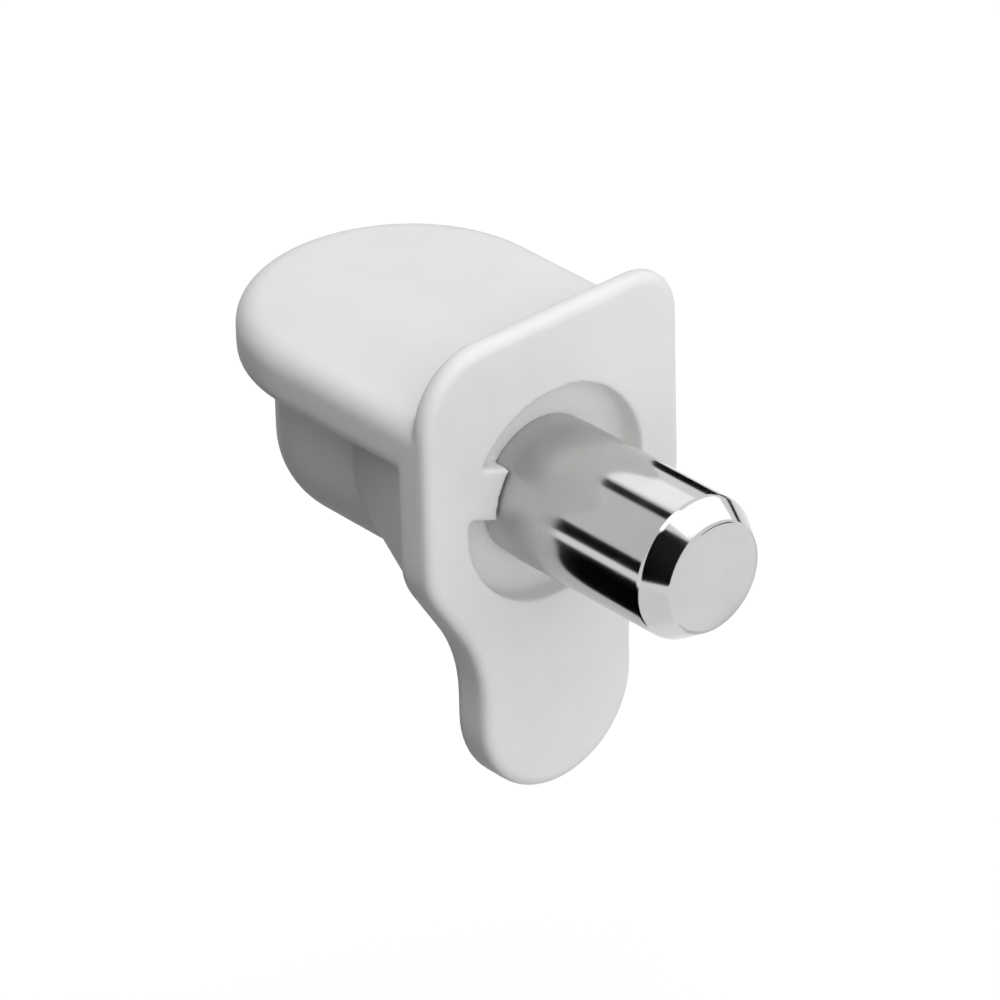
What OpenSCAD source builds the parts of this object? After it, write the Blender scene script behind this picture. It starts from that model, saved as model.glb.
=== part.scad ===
// Shelf support pin: a moulded support with a turned steel pin set in it.
// The origin is on the pin's axis, at the face that lies against the cabinet wall.
// +Y runs along the pin into the wall, +Z is up, and the shelf rest stands out towards -Y.

/* [Pin] */
// Diameter of the pin where it enters the wall
pin_d = 5; // [4:0.5:7]
// Length of pin that stands out of the wall face
pin_reach = 7.5; // [5:0.5:12]
// Step in radius from the pin to the spigot that is held in the support
pin_step = 0.4; // [0.2:0.1:0.8]
// Length of the cone at the pin's free end
tip_len = 0.9; // [0.4:0.1:1.5]
// How far the cone comes in all round
tip_in = 0.57; // [0.2:0.01:1]
// How far the pin's foot draws in from the wall face to the floor of the ring
foot_taper = 0.05; // [0.02:0.01:0.1]
// Chamfer at the spigot's inner end
spigot_chamfer = 0.3; // [0.1:0.1:0.6]
// Gap all round the spigot in its hole
spigot_gap = 0.02; // [0:0.01:0.1]

/* [Wall plate] */
// Width of the plate and of the shelf rest
plate_w = 11.1; // [10:0.1:14]
// Thickness of the plate below the shelf rest
plate_t = 1.6; // [1.4:0.1:2.5]
// Thickness of the lip above the shelf rest
lip_t = 0.8; // [0.7:0.05:1.2]
// Height of the lip above the shelf rest
lip_h = 2.15; // [1.5:0.1:5]
// Radius of the lip's top corner on the +X side
near_corner_r = 2.6; // [1:0.1:3]
// Radius of the lip's top corner on the -X side
far_corner_r = 1.8; // [1:0.1:3]
// Radius of the rolled edge round the plate
edge_r = 0.35; // [0.1:0.05:0.35]
// Drop from the pin's axis to where the plate begins to narrow
shoulder_drop = 1; // [0:0.1:2]
// Radius of the bend where the plate begins to narrow
bend_r = 2.5; // [1:0.1:3]
// Radius of the hollow where the slope runs into the tongue
hollow_r = 5.5; // [4:0.1:6]
// Length of the straight slope between bend and hollow
slope_len = 1.9; // [1:0.1:3]
// Straight length of the tongue above its round end
tongue_straight = 0.95; // [0.2:0.05:6]

/* [Shelf rest] */
// Cover of plastic from the pin's top to the face that the shelf lies on
rest_cover = 1.9; // [1:0.1:4]
// Thickness of the shelf rest
rest_t = 2.1; // [1.6:0.1:3]
// Reach of the shelf rest from the wall
rest_reach = 12.9; // [12:0.1:18]
// Radius of the shelf rest's top edge
rest_edge_r = 0.8; // [0.3:0.05:1]
// Radius of the shelf rest's lower edge
rest_under_r = 0.6; // [0.2:0.05:0.8]
// Radius of the crease between shelf rest and lip
crease_r = 0.4; // [0.2:0.05:0.6]

/* [Web] */
// Wall of plastic beside the spigot
web_wall = 1.1; // [0.8:0.1:1.5]
// Plastic below the pin's lowest line
web_floor = 1.9; // [1.5:0.1:3]
// How far the web's nose stays behind the nose of the shelf rest
web_setback = 0.5; // [0.3:0.1:2]
// Length of the flare from the plate to where it runs out on the web
flare_len = 4.8; // [2:0.1:6]
// How far the flare spreads beyond the web on each side
flare_spread = 1.95; // [0.5:0.05:2]
// Solid nose left in front of the spigot
web_nose_wall = 4.3; // [2:0.1:6]

/* [Recess] */
// Width of the ring sunk into the plate round the pin
recess_gap = 1.3; // [0.8:0.1:1.6]
// Depth of the ring
recess_depth = 0.85; // [0.3:0.05:0.9]
// Width of the two ribs that bridge the ring
rib_w = 1.8; // [1:0.1:3]
// Slant of the ribs from the level
rib_angle = 20; // [0:5:90]
// Gap left between the pin and the ends of the ribs
foot_gap = 0.05; // [0.02:0.01:0.2]

/* [Hidden] */
$fn = 96;
// Overrun of cutting shapes past the faces that they cut
over = 0.5;
plastic_colour = [0.93, 0.93, 0.92];
nickel_colour = [0.72, 0.72, 0.71];

pin_r = pin_d / 2;
spigot_r = pin_r - pin_step;
plate_half = plate_w / 2;

// Levels above and below the pin's axis
rest_top = pin_r + rest_cover;
rest_bottom = rest_top - rest_t;
rest_middle = rest_top - rest_t / 2;
lip_top = rest_top + lip_h;
web_r = spigot_r + web_wall;
web_bottom = -(pin_r + web_floor);
web_axis = web_bottom + web_r;
flare_axis = web_axis / 2;
flare_half = web_r + flare_spread;

// Depths from the wall face
rest_nose = rest_reach - plate_half;
web_nose = rest_reach - web_setback - web_r;
flare_start = plate_t + flare_len;
spigot_end = rest_reach - web_setback - web_nose_wall;

// Narrowing side of the plate: a bend, a straight slope and a hollow
slope_in_share = 0.5376;
slope_drop_share = sqrt(1 - slope_in_share * slope_in_share);
slope_angle = asin(slope_in_share);
narrowing = (bend_r + hollow_r) * (1 - slope_drop_share) + slope_len * slope_in_share;
tongue_half = plate_half - narrowing;
sweep_end = -shoulder_drop - (bend_r + hollow_r) * slope_in_share - slope_len * slope_drop_share;
tongue_end = sweep_end - tongue_straight;
tongue_tip = tongue_end - tongue_half;
shoulder_x = plate_half - bend_r;
hollow_x = tongue_half + hollow_r;

module both_sides() {
    children();
    mirror([1, 0, 0]) children();
}

// Stands a shape up: its own height becomes Z, and its depth runs from the wall towards -Y
module stand_up() {
    rotate([90, 0, 0]) children();
}

// Corner points of one side of the plate, from the tongue up to the lip's corner
function side_points(inset, corner_r) = [
    [tongue_half - inset, tongue_end],
    [tongue_half - inset, sweep_end],
    [hollow_x - (hollow_r + inset) * slope_drop_share, sweep_end + (hollow_r + inset) * slope_in_share],
    [shoulder_x + (bend_r - inset) * slope_drop_share, -shoulder_drop - (bend_r - inset) * slope_in_share],
    [plate_half - inset, -shoulder_drop],
    [plate_half - inset, lip_top - corner_r],
    [plate_half - corner_r, lip_top - inset]];

// Outline of the plate, drawn in by an inset that keeps every bend on its own centre
module plate_outline(inset = 0) {
    near_side = side_points(inset, near_corner_r);
    far_side = side_points(inset, far_corner_r);
    last = len(far_side) - 1;
    far_back = [for (i = [last:-1:0]) [-far_side[i].x, far_side[i].y]];
    difference() {
        union() {
            polygon(concat(near_side, far_back));
            translate([plate_half - near_corner_r, lip_top - near_corner_r]) circle(r = near_corner_r - inset);
            translate([far_corner_r - plate_half, lip_top - far_corner_r]) circle(r = far_corner_r - inset);
            for (side = [-1, 1]) translate([side * shoulder_x, -shoulder_drop]) circle(r = bend_r - inset);
            translate([0, tongue_end]) circle(r = tongue_half - inset);
        }
        for (side = [-1, 1]) translate([side * hollow_x, sweep_end]) circle(r = hollow_r + inset);
    }
}

// Quarter-round section of a rolled edge: outwards along x, in from the face along y
module roll_section() {
    intersection() {
        translate([-edge_r, edge_r]) circle(r = edge_r);
        translate([-edge_r, 0]) square(edge_r);
    }
}

// Rolled edge along a straight stretch, which faces outwards at the given angle
module roll_straight(start, facing, length) {
    translate(start) rotate([90, 0, facing]) mirror([0, 0, 1]) linear_extrude(length) roll_section();
}

// Rolled edge round a bend that bulges outwards
module roll_bend(centre, radius, from, sweep) {
    translate(centre) rotate([0, 0, from]) rotate_extrude(angle = sweep)
        translate([radius, 0]) roll_section();
}

// Rolled edge round a bend that is hollow
module roll_hollow(centre, radius, from, sweep) {
    translate(centre) rotate([0, 0, from]) rotate_extrude(angle = sweep)
        translate([radius, 0]) mirror([1, 0]) roll_section();
}

// Keeps the part of a bend that lies up to a quarter turn past the given angle
module past_angle(centre, radius, angle) {
    intersection() {
        children();
        translate(centre) rotate([0, 0, angle]) cube(2 * radius);
    }
}

// Rolled edge up one side of the plate, from the tongue round the lip's corner
module edge_side(corner_r) {
    shoulder = [shoulder_x, -shoulder_drop];
    hollow = [hollow_x, sweep_end];
    slope_foot = [hollow_x - hollow_r * slope_drop_share, sweep_end + hollow_r * slope_in_share];
    roll_bend([plate_half - corner_r, lip_top - corner_r], corner_r, 0, 90);
    roll_straight([plate_half, -shoulder_drop], 0, lip_top - corner_r + shoulder_drop);
    past_angle(shoulder, bend_r, -slope_angle) roll_bend(shoulder, bend_r, -90, 90);
    roll_straight(slope_foot, -slope_angle, slope_len);
    past_angle(hollow, hollow_r, 180 - slope_angle) roll_hollow(hollow, hollow_r, 90, 90);
    roll_straight([tongue_half, tongue_end], 0, tongue_straight);
}

// Rolled edge all round the plate, on the face at depth zero
module edge_roll() {
    edge_side(near_corner_r);
    mirror([1, 0, 0]) edge_side(far_corner_r);
    roll_straight([plate_half - near_corner_r, lip_top], 90, plate_w - near_corner_r - far_corner_r);
    roll_bend([0, tongue_end], tongue_half, 180, 180);
}

// Plate of a given thickness, with its edge rolled on both faces
module rolled_plate(thickness) {
    linear_extrude(thickness) plate_outline(edge_r);
    translate([0, 0, edge_r]) linear_extrude(thickness - 2 * edge_r) plate_outline();
    edge_roll();
    translate([0, 0, thickness]) mirror([0, 0, 1]) edge_roll();
}

// Cross-section of the shelf rest, with a full top edge and a fine lower one
module rest_section() {
    under = plate_half - rest_under_r;
    upper = plate_half - rest_edge_r;
    polygon([[-under, rest_bottom], [under, rest_bottom],
             [plate_half, rest_bottom + rest_under_r], [plate_half, rest_top - rest_edge_r],
             [upper, rest_top], [-upper, rest_top],
             [-plate_half, rest_top - rest_edge_r], [-plate_half, rest_bottom + rest_under_r]]);
    for (side = [-1, 1]) {
        translate([side * under, rest_bottom + rest_under_r]) circle(r = rest_under_r);
        translate([side * upper, rest_top - rest_edge_r]) circle(r = rest_edge_r);
    }
}

// Shelf rest: straight from the lip, then turned round to its half-round nose
module shelf_rest() {
    stand_up() translate([0, 0, edge_r]) linear_extrude(rest_nose - edge_r) rest_section();
    translate([0, -rest_nose, 0]) rotate([0, 0, 180]) rotate_extrude(angle = 180)
        intersection() {
            rest_section();
            translate([0, rest_bottom]) square([plate_half, rest_t]);
        }
}

// Hollow section of the crease, out from the shelf rest along x and from the lip along y
module crease_section() {
    translate([0, lip_t]) difference() {
        square(crease_r);
        translate([crease_r, crease_r]) circle(r = crease_r);
    }
}

// Crease between lip and shelf rest, which follows the rest's top edge down at both ends
module crease() {
    upper = plate_half - rest_edge_r;
    translate([-upper, rest_top, 0]) rotate([90, 0, 90]) linear_extrude(2 * upper) crease_section();
    intersection() {
        both_sides() translate([upper, rest_top - rest_edge_r, 0]) rotate_extrude(angle = 90)
            translate([rest_edge_r, 0]) crease_section();
        linear_extrude(rest_nose) plate_outline(edge_r);
    }
}

// Plan of the web, a half-round nose with straight sides; depth runs along y
module web_plan() {
    translate([0, web_nose]) circle(r = web_r);
    translate([-web_r, plate_t / 2]) square([2 * web_r, web_nose - plate_t / 2]);
}

// Plan of the flare that carries the web's sides out to the plate; it starts and ends inside them
module flare_plan() {
    inner_half = web_r - flare_spread / 2;
    inner_end = flare_start + flare_len / 2;
    polygon([[-flare_half, plate_t / 2], [flare_half, plate_t / 2], [flare_half, plate_t],
             [inner_half, inner_end], [-inner_half, inner_end], [-flare_half, plate_t]]);
}

// Raises a plan from its axis to the shelf rest, and turns it about the axis below that
module raise_and_turn(axis) {
    translate([0, axis, 0]) rotate([-90, 0, 0]) mirror([0, 1, 0])
        linear_extrude(rest_bottom + rest_under_r - axis) children();
    translate([0, axis, 0]) rotate([0, 0, 180]) rotate_extrude(angle = 180) intersection() {
        children();
        square([plate_half, rest_reach]);
    }
}

// Ring sunk round the pin, bridged by two ribs that stop just short of it
module recess() {
    recess_r = pin_r + recess_gap;
    rotate([0, 0, rib_angle]) translate([0, 0, -over]) {
        cylinder(r = pin_r + foot_gap, h = recess_depth + over);
        difference() {
            cylinder(r = recess_r, h = recess_depth + over);
            translate([-plate_half, -rib_w / 2, 0]) cube([plate_w, rib_w, plate_t + over]);
        }
    }
}

module support_body() {
    color(plastic_colour) difference() {
        union() {
            stand_up() {
                rolled_plate(lip_t);
                intersection() {
                    rolled_plate(plate_t);
                    translate([-plate_half - over, tongue_tip - over, -over])
                        cube([plate_w + 2 * over, rest_middle - tongue_tip + over, plate_t + 2 * over]);
                }
                crease();
                raise_and_turn(web_axis) web_plan();
                raise_and_turn(flare_axis) flare_plan();
            }
            shelf_rest();
        }
        stand_up() {
            recess();
            translate([0, 0, recess_depth - over])
                cylinder(r = spigot_r + spigot_gap, h = spigot_end + spigot_chamfer - recess_depth + over);
        }
    }
}

module steel_pin() {
    color(nickel_colour)
        rotate([-90, 0, 0]) rotate_extrude() polygon([
            [0, -spigot_end], [spigot_r - spigot_chamfer, -spigot_end],
            [spigot_r, spigot_chamfer - spigot_end], [spigot_r, -recess_depth],
            [pin_r - foot_taper, -recess_depth], [pin_r, 0],
            [pin_r, pin_reach - tip_len], [pin_r - tip_in, pin_reach], [0, pin_reach]]);
}

support_body();
steel_pin();
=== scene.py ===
import bmesh
import bpy
from math import cos, pi, radians, sin
from mathutils import Matrix, Vector


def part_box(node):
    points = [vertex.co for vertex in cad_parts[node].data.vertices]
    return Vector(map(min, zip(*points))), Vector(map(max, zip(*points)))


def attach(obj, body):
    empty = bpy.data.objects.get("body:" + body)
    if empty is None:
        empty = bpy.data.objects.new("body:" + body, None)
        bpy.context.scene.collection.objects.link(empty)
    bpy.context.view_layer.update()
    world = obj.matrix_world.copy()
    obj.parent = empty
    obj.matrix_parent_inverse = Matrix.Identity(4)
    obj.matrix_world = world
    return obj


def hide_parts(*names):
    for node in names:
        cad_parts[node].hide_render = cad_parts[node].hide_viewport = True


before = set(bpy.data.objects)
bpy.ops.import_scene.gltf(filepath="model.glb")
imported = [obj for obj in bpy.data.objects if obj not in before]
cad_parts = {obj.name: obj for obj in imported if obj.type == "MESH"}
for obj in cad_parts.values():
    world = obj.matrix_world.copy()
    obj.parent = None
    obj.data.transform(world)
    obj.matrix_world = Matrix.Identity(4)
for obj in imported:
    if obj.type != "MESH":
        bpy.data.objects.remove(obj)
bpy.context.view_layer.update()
mm = 0.001


# Support: one moulding of white plastic that joins the wall plate with its lip and tongue, the
# half-round shelf rest and the web that holds the pin. The mould has no sharp corners, so the
# solid is skinned evenly and every edge is worked soft, as the plastic comes out of the tool.
skin_step = 0.1 * mm
edge_passes = 6
merge_gap = 0.0001 * mm
cloud_size = 3 * mm
grain_size = 0.12 * mm
grain_height = 0.01 * mm
glow_depth = 0.6 * mm
plastic_white = (0.83, 0.83, 0.825, 1)
plastic_shade = (0.80, 0.80, 0.79, 1)

moulding = bmesh.new()
moulding.from_mesh(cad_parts["support_body"].data)
bmesh.ops.remove_doubles(moulding, verts=moulding.verts, dist=merge_gap)
support_mesh = bpy.data.meshes.new("support")
moulding.to_mesh(support_mesh)
moulding.free()
support = bpy.data.objects.new("support", support_mesh)
bpy.context.collection.objects.link(support)
even_skin = support.modifiers.new("even_skin", "REMESH")
even_skin.mode = "VOXEL"
even_skin.voxel_size = skin_step
even_skin.use_smooth_shade = True
soft_edges = support.modifiers.new("soft_edges", "SMOOTH")
soft_edges.factor = 0.5
soft_edges.iterations = edge_passes

plastic = bpy.data.materials.new("white_plastic")
plastic.use_nodes = True
nodes = plastic.node_tree.nodes
links = plastic.node_tree.links
surface = nodes["Principled BSDF"]
surface.inputs["IOR"].default_value = 1.5
surface.inputs["Specular IOR Level"].default_value = 0.15
surface.inputs["Subsurface Weight"].default_value = 0.1
surface.inputs["Subsurface Radius"].default_value = (1, 0.9, 0.8)
surface.inputs["Subsurface Scale"].default_value = glow_depth
place = nodes.new("ShaderNodeTexCoord")
cloud = nodes.new("ShaderNodeTexNoise")
cloud.inputs["Scale"].default_value = 1 / cloud_size
cloud.inputs["Detail"].default_value = 4
tint = nodes.new("ShaderNodeValToRGB")
tint.color_ramp.elements[0].position = 0.35
tint.color_ramp.elements[0].color = plastic_shade
tint.color_ramp.elements[1].position = 0.65
tint.color_ramp.elements[1].color = plastic_white
gloss = nodes.new("ShaderNodeMapRange")
gloss.inputs["To Min"].default_value = 0.44
gloss.inputs["To Max"].default_value = 0.56
grain = nodes.new("ShaderNodeTexNoise")
grain.inputs["Scale"].default_value = 1 / grain_size
grain.inputs["Detail"].default_value = 3
raised = nodes.new("ShaderNodeBump")
raised.inputs["Strength"].default_value = 0.12
raised.inputs["Distance"].default_value = grain_height
links.new(place.outputs["Object"], cloud.inputs["Vector"])
links.new(place.outputs["Object"], grain.inputs["Vector"])
links.new(cloud.outputs["Fac"], tint.inputs["Fac"])
links.new(cloud.outputs["Fac"], gloss.inputs["Value"])
links.new(tint.outputs["Color"], surface.inputs["Base Color"])
links.new(gloss.outputs["Result"], surface.inputs["Roughness"])
links.new(grain.outputs["Fac"], raised.inputs["Height"])
links.new(raised.outputs["Normal"], surface.inputs["Normal"])
support_mesh.materials.clear()
support_mesh.materials.append(plastic)
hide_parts("support_body")
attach(support, "root")


# Pin: a steel rod turned to a cone at its free end and to a thinner spigot at the other, then
# plated with bright nickel. The spigot is pressed into the web, and the foot above it draws in a
# little and stops on the floor of the ring that is sunk into the plate.
pin_low, pin_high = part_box("steel_pin")
pin_radius = pin_high.x
pin_turns = 160
spigot_step = 0.4 * mm
spigot_chamfer = 0.3 * mm
foot_depth = 0.85 * mm
foot_taper = 0.05 * mm
cone_length = 0.9 * mm
cone_drop = 0.57 * mm
rim_softness = 0.11 * mm
rim_angle = radians(15)
stain_size = 1.2 * mm
dull_start = 0.5 * mm
dull_end = 3.2 * mm
feed_pitch = 0.05 * mm
feed_width = 5 * mm
feed_height = 0.002 * mm
nickel_bright = (0.60, 0.60, 0.595, 1)
nickel_dull = (0.56, 0.56, 0.555, 1)

spigot_radius = pin_radius - spigot_step
profile = [(0, pin_low.y), (spigot_radius - spigot_chamfer, pin_low.y),
           (spigot_radius, pin_low.y + spigot_chamfer), (spigot_radius, -foot_depth),
           (pin_radius - foot_taper, -foot_depth), (pin_radius, 0),
           (pin_radius, pin_high.y - cone_length), (pin_radius - cone_drop, pin_high.y),
           (0, pin_high.y)]
turning = bmesh.new()
points = [turning.verts.new((out, along, 0)) for out, along in profile]
for near, far in zip(points, points[1:]):
    turning.edges.new((near, far))
bmesh.ops.spin(turning, geom=turning.verts[:] + turning.edges[:], cent=(0, 0, 0), axis=(0, 1, 0),
               angle=2 * pi, steps=pin_turns, use_merge=True)
bmesh.ops.remove_doubles(turning, verts=turning.verts, dist=merge_gap)
bmesh.ops.recalc_face_normals(turning, faces=turning.faces)
rims = [edge for edge in turning.edges
        if len(edge.link_faces) == 2 and edge.calc_face_angle() > rim_angle]
bmesh.ops.bevel(turning, geom=rims, offset=rim_softness, offset_type="OFFSET", affect="EDGES",
                segments=4, profile=0.5, material=-1)
for face in turning.faces:
    face.smooth = True
pin_mesh = bpy.data.meshes.new("pin")
turning.to_mesh(pin_mesh)
turning.free()
pin = bpy.data.objects.new("pin", pin_mesh)
bpy.context.collection.objects.link(pin)
true_faces = pin.modifiers.new("true_faces", "WEIGHTED_NORMAL")
true_faces.weight = 100

nickel = bpy.data.materials.new("nickel_steel")
nickel.use_nodes = True
nodes = nickel.node_tree.nodes
links = nickel.node_tree.links
surface = nodes["Principled BSDF"]
surface.inputs["Metallic"].default_value = 1
place = nodes.new("ShaderNodeTexCoord")
stain = nodes.new("ShaderNodeTexNoise")
stain.inputs["Scale"].default_value = 1 / stain_size
stain.inputs["Detail"].default_value = 5
tint = nodes.new("ShaderNodeValToRGB")
tint.color_ramp.elements[0].position = 0.3
tint.color_ramp.elements[0].color = nickel_dull
tint.color_ramp.elements[1].position = 0.7
tint.color_ramp.elements[1].color = nickel_bright
gloss = nodes.new("ShaderNodeMapRange")
gloss.inputs["To Min"].default_value = 0.08
gloss.inputs["To Max"].default_value = 0.16
along = nodes.new("ShaderNodeSeparateXYZ")
foot_dull = nodes.new("ShaderNodeMapRange")
foot_dull.interpolation_type = "SMOOTHSTEP"
foot_dull.inputs["From Min"].default_value = dull_start
foot_dull.inputs["From Max"].default_value = dull_end
foot_dull.inputs["To Min"].default_value = 0.3
foot_dull.inputs["To Max"].default_value = 0
polish = nodes.new("ShaderNodeMath")
turned = nodes.new("ShaderNodeTexNoise")
turned.inputs["Scale"].default_value = 1
turned.inputs["Detail"].default_value = 2
feed = nodes.new("ShaderNodeMapping")
feed.inputs["Scale"].default_value = (1 / feed_width, 1 / feed_pitch, 1 / feed_width)
raised = nodes.new("ShaderNodeBump")
raised.inputs["Strength"].default_value = 0.06
raised.inputs["Distance"].default_value = feed_height
links.new(place.outputs["Object"], stain.inputs["Vector"])
links.new(place.outputs["Object"], feed.inputs["Vector"])
links.new(place.outputs["Object"], along.inputs["Vector"])
links.new(feed.outputs["Vector"], turned.inputs["Vector"])
links.new(stain.outputs["Fac"], tint.inputs["Fac"])
links.new(stain.outputs["Fac"], gloss.inputs["Value"])
links.new(along.outputs["Y"], foot_dull.inputs["Value"])
links.new(gloss.outputs["Result"], polish.inputs[0])
links.new(foot_dull.outputs["Result"], polish.inputs[1])
links.new(tint.outputs["Color"], surface.inputs["Base Color"])
links.new(polish.outputs["Value"], surface.inputs["Roughness"])
links.new(turned.outputs["Fac"], raised.inputs["Height"])
links.new(raised.outputs["Normal"], surface.inputs["Normal"])
pin_mesh.materials.append(nickel)
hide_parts("steel_pin")
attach(pin, "root")


# Floor: a plain pale sheet well below the support, which hangs on its pin. The camera and the
# bright metal see it as white, and it takes the support's soft shadow.
floor_drop = 30 * mm
floor_size = 4
floor_pale = (0.8, 0.8, 0.8, 1)
white_share = 0.85
white_strength = 1.1
floor_sheet = bmesh.new()
bmesh.ops.create_grid(floor_sheet, x_segments=1, y_segments=1, size=floor_size / 2,
                      matrix=Matrix.Translation((0, 0, -floor_drop)))
floor_mesh = bpy.data.meshes.new("floor")
floor_sheet.to_mesh(floor_mesh)
floor_sheet.free()
floor = bpy.data.objects.new("floor", floor_mesh)
bpy.context.collection.objects.link(floor)
pale = bpy.data.materials.new("pale_floor")
pale.use_nodes = True
nodes = pale.node_tree.nodes
links = pale.node_tree.links
surface = nodes["Principled BSDF"]
surface.inputs["Base Color"].default_value = floor_pale
surface.inputs["Roughness"].default_value = 0.9
rays = nodes.new("ShaderNodeLightPath")
seen = nodes.new("ShaderNodeMath")
seen.operation = "MAXIMUM"
shown = nodes.new("ShaderNodeMath")
shown.operation = "MULTIPLY"
shown.inputs[1].default_value = white_share
white = nodes.new("ShaderNodeEmission")
white.inputs["Strength"].default_value = white_strength
mix = nodes.new("ShaderNodeMixShader")
links.new(rays.outputs["Is Camera Ray"], seen.inputs[0])
links.new(rays.outputs["Is Glossy Ray"], seen.inputs[1])
links.new(seen.outputs["Value"], shown.inputs[0])
links.new(shown.outputs["Value"], mix.inputs["Fac"])
links.new(surface.outputs["BSDF"], mix.inputs[1])
links.new(white.outputs["Emission"], mix.inputs[2])
links.new(mix.outputs["Shader"], nodes["Material Output"].inputs["Surface"])
floor_mesh.materials.append(pale)


# Cards: black card and grey paper round the support, out of the picture. Some only shade the dark
# side of the plastic. The others lie on the floor or stand as bars and sheets that only mirrors
# show, because bright metal has no shape without dark edges in it.
card_black = (0.002, 0.002, 0.002, 1)
paper_glow = 0.72
black_card = bpy.data.materials.new("black_card")
black_card.use_nodes = True
surface = black_card.node_tree.nodes["Principled BSDF"]
surface.inputs["Base Color"].default_value = card_black
surface.inputs["Roughness"].default_value = 0.9
surface.inputs["Specular IOR Level"].default_value = 0
grey_paper = bpy.data.materials.new("grey_paper")
grey_paper.use_nodes = True
surface = grey_paper.node_tree.nodes["Principled BSDF"]
surface.inputs["Base Color"].default_value = (0, 0, 0, 1)
surface.inputs["Emission Color"].default_value = (1, 1, 1, 1)
surface.inputs["Emission Strength"].default_value = paper_glow


def hang_card(name, centre, facing, width, height, paper):
    """A card at a place in mm that faces a direction and stands upright as far as it can."""
    turn = Vector(facing).to_track_quat("Z", "Y").to_matrix().to_4x4()
    size = Matrix.Diagonal((width * mm, height * mm, 1, 1))
    sheet = bmesh.new()
    bmesh.ops.create_grid(sheet, x_segments=1, y_segments=1, size=0.5,
                          matrix=Matrix.Translation(Vector(centre) * mm) @ turn @ size)
    mesh = bpy.data.meshes.new(name)
    sheet.to_mesh(mesh)
    sheet.free()
    mesh.materials.append(paper)
    card = bpy.data.objects.new(name, mesh)
    bpy.context.collection.objects.link(card)
    card.visible_camera = False
    card.visible_shadow = False
    return card


shade_card = hang_card("shade_card", (55, -48, 12), (-1, 0, 0), 128, 84, black_card)
floor_card = hang_card("floor_card", (51, -32, -29.5), (0, 0, 1), 86, 136, black_card)
under_card = hang_card("under_card", (3, -9.5, -12), (0, 0, 1), 46, 15, black_card)
shade_card.visible_shadow = True
for card in (shade_card, floor_card, under_card):
    card.visible_glossy = False

low_card = hang_card("low_card", (42, -46, -29), (0, 0, 1), 76, 84, black_card)
cone_card = hang_card("cone_card", (72, 45, 40), (-0.784, -0.408, -0.472), 90, 132, black_card)
right_bar = hang_card("right_bar", (92, -77, 3), (-92, 77, -3), 60, 32, black_card)
top_bar = hang_card("top_bar", (0, -85, 103), (0, 85, -103), 24, 60, black_card)
left_bar = hang_card("left_bar", (-92, -77, 1), (92, 77, -1), 60, 46, black_card)
cone_bar = hang_card("cone_bar", (-97, -12, 6), (97, 19, -6), 60, 12, black_card)
rim_bar = hang_card("rim_bar", (-65, 80, 8), (65, -73, -8), 60, 18, black_card)
grey_card = hang_card("grey_card", (113, -141, 126), (-0.515, 0.64, -0.572), 300, 300, grey_paper)
rim_card = hang_card("rim_card", (-52, 17, -29), (0, 0, 1), 96, 28, grey_paper)
for card in (low_card, cone_card, right_bar, top_bar, left_bar, cone_bar, rim_bar, grey_card, rim_card):
    card.visible_diffuse = False


# Studio light: a long soft box overhead, one above the shelf rest and a faint one behind it, in a
# white tent that glows most in front of the wall face and least behind it on the dark side. The
# camera and the bright metal see the tent as plain white.
def soft_box(name, centre, along, length, width, watts):
    """A soft box at a place in mm that shines on the support, its long side near a direction."""
    back = Vector(centre).normalized()
    upright = back.cross(Vector(along)).normalized()
    lamp = bpy.data.lights.new(name, "AREA")
    lamp.shape = "RECTANGLE"
    lamp.size = length * mm
    lamp.size_y = width * mm
    lamp.energy = watts
    box = bpy.data.objects.new(name, lamp)
    box.matrix_world = (Matrix.Translation(Vector(centre) * mm)
                        @ Matrix((upright.cross(back), upright, back)).transposed().to_4x4())
    bpy.context.collection.objects.link(box)


soft_box("overhead_box", (-67, 26, 108), (0.83, 0.33, 0.44), 240, 60, 0.036)
soft_box("top_box", (22, -12, 150), (1, 0, 0), 100, 80, 0.034)
soft_box("rear_box", (-61, -96, 98), (0.64, 0, 0.77), 90, 60, 0.006)

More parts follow.
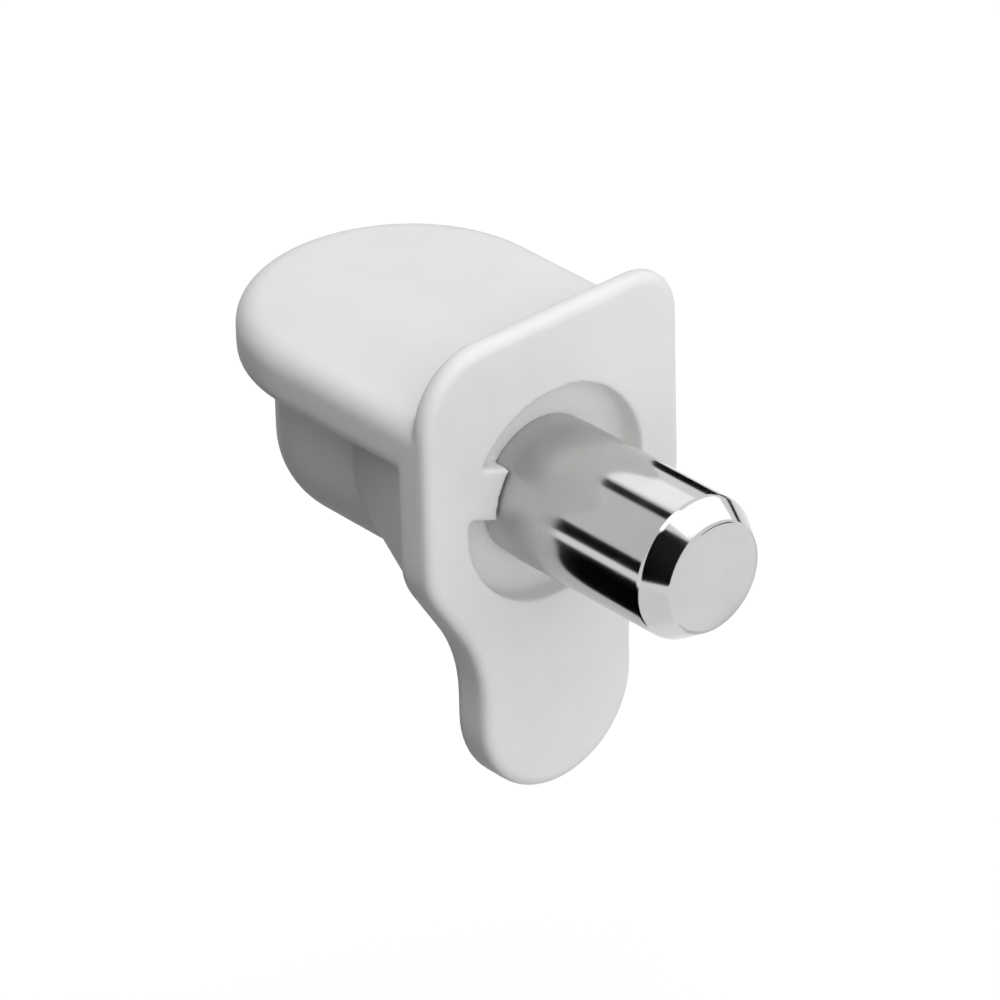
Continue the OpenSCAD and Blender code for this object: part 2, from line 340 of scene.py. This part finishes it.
tent_faces = Vector((0.5, 0.8, 0.34)).normalized()
tent_dark = 0.1
tent_bright = 1.34
tent = bpy.data.worlds.new("tent")
tent.use_nodes = True
nodes = tent.node_tree.nodes
links = tent.node_tree.links
glow = nodes["Background"]
glow.inputs["Color"].default_value = (1, 1, 1, 1)
place = nodes.new("ShaderNodeTexCoord")
towards = nodes.new("ShaderNodeVectorMath")
towards.operation = "DOT_PRODUCT"
towards.inputs[1].default_value = tent_faces
level = nodes.new("ShaderNodeMapRange")
level.inputs["From Min"].default_value = -0.6
level.inputs["From Max"].default_value = 1
level.inputs["To Min"].default_value = tent_dark
level.inputs["To Max"].default_value = tent_bright
rays = nodes.new("ShaderNodeLightPath")
seen = nodes.new("ShaderNodeMath")
seen.operation = "MAXIMUM"
white = nodes.new("ShaderNodeBackground")
white.inputs["Color"].default_value = (1, 1, 1, 1)
mix = nodes.new("ShaderNodeMixShader")
links.new(place.outputs["Generated"], towards.inputs[0])
links.new(towards.outputs["Value"], level.inputs["Value"])
links.new(level.outputs["Result"], glow.inputs["Strength"])
links.new(rays.outputs["Is Camera Ray"], seen.inputs[0])
links.new(rays.outputs["Is Glossy Ray"], seen.inputs[1])
links.new(seen.outputs["Value"], mix.inputs["Fac"])
links.new(glow.outputs["Background"], mix.inputs[1])
links.new(white.outputs["Background"], mix.inputs[2])
links.new(mix.outputs["Shader"], nodes["World Output"].inputs["Surface"])
bpy.context.scene.world = tent
bpy.context.scene.view_settings.view_transform = "Standard"


# Camera: a long lens on the pin's side of the wall plate, up and to the right of it, as the
# photograph was taken. The aim is a little off the pin's axis, to frame the whole support.
camera_turn = radians(41.088)
camera_height = radians(30.584)
camera_roll = radians(-1.556)
camera_distance = 250 * mm
aim_right = -1.8322 * mm
aim_up = -0.2479 * mm
focal_share = 7.6903
film_width = 36
near_limit = 1 * mm
back = Vector((sin(camera_turn) * cos(camera_height), cos(camera_turn) * cos(camera_height),
               sin(camera_height)))
sideways = Vector((-cos(camera_turn), sin(camera_turn), 0))
upright = back.cross(sideways)
across = cos(camera_roll) * sideways + sin(camera_roll) * upright
above = cos(camera_roll) * upright - sin(camera_roll) * sideways
lens = bpy.data.cameras.new("camera")
lens.sensor_width = film_width
lens.lens = film_width * focal_share
lens.clip_start = near_limit
camera = bpy.data.objects.new("camera", lens)
camera.matrix_world = (Matrix.Translation(back * camera_distance + across * aim_right + above * aim_up)
                       @ Matrix((across, above, back)).transposed().to_4x4())
bpy.context.collection.objects.link(camera)
bpy.context.scene.camera = camera


# Update: the view layer is brought up to date.
bpy.context.view_layer.update()
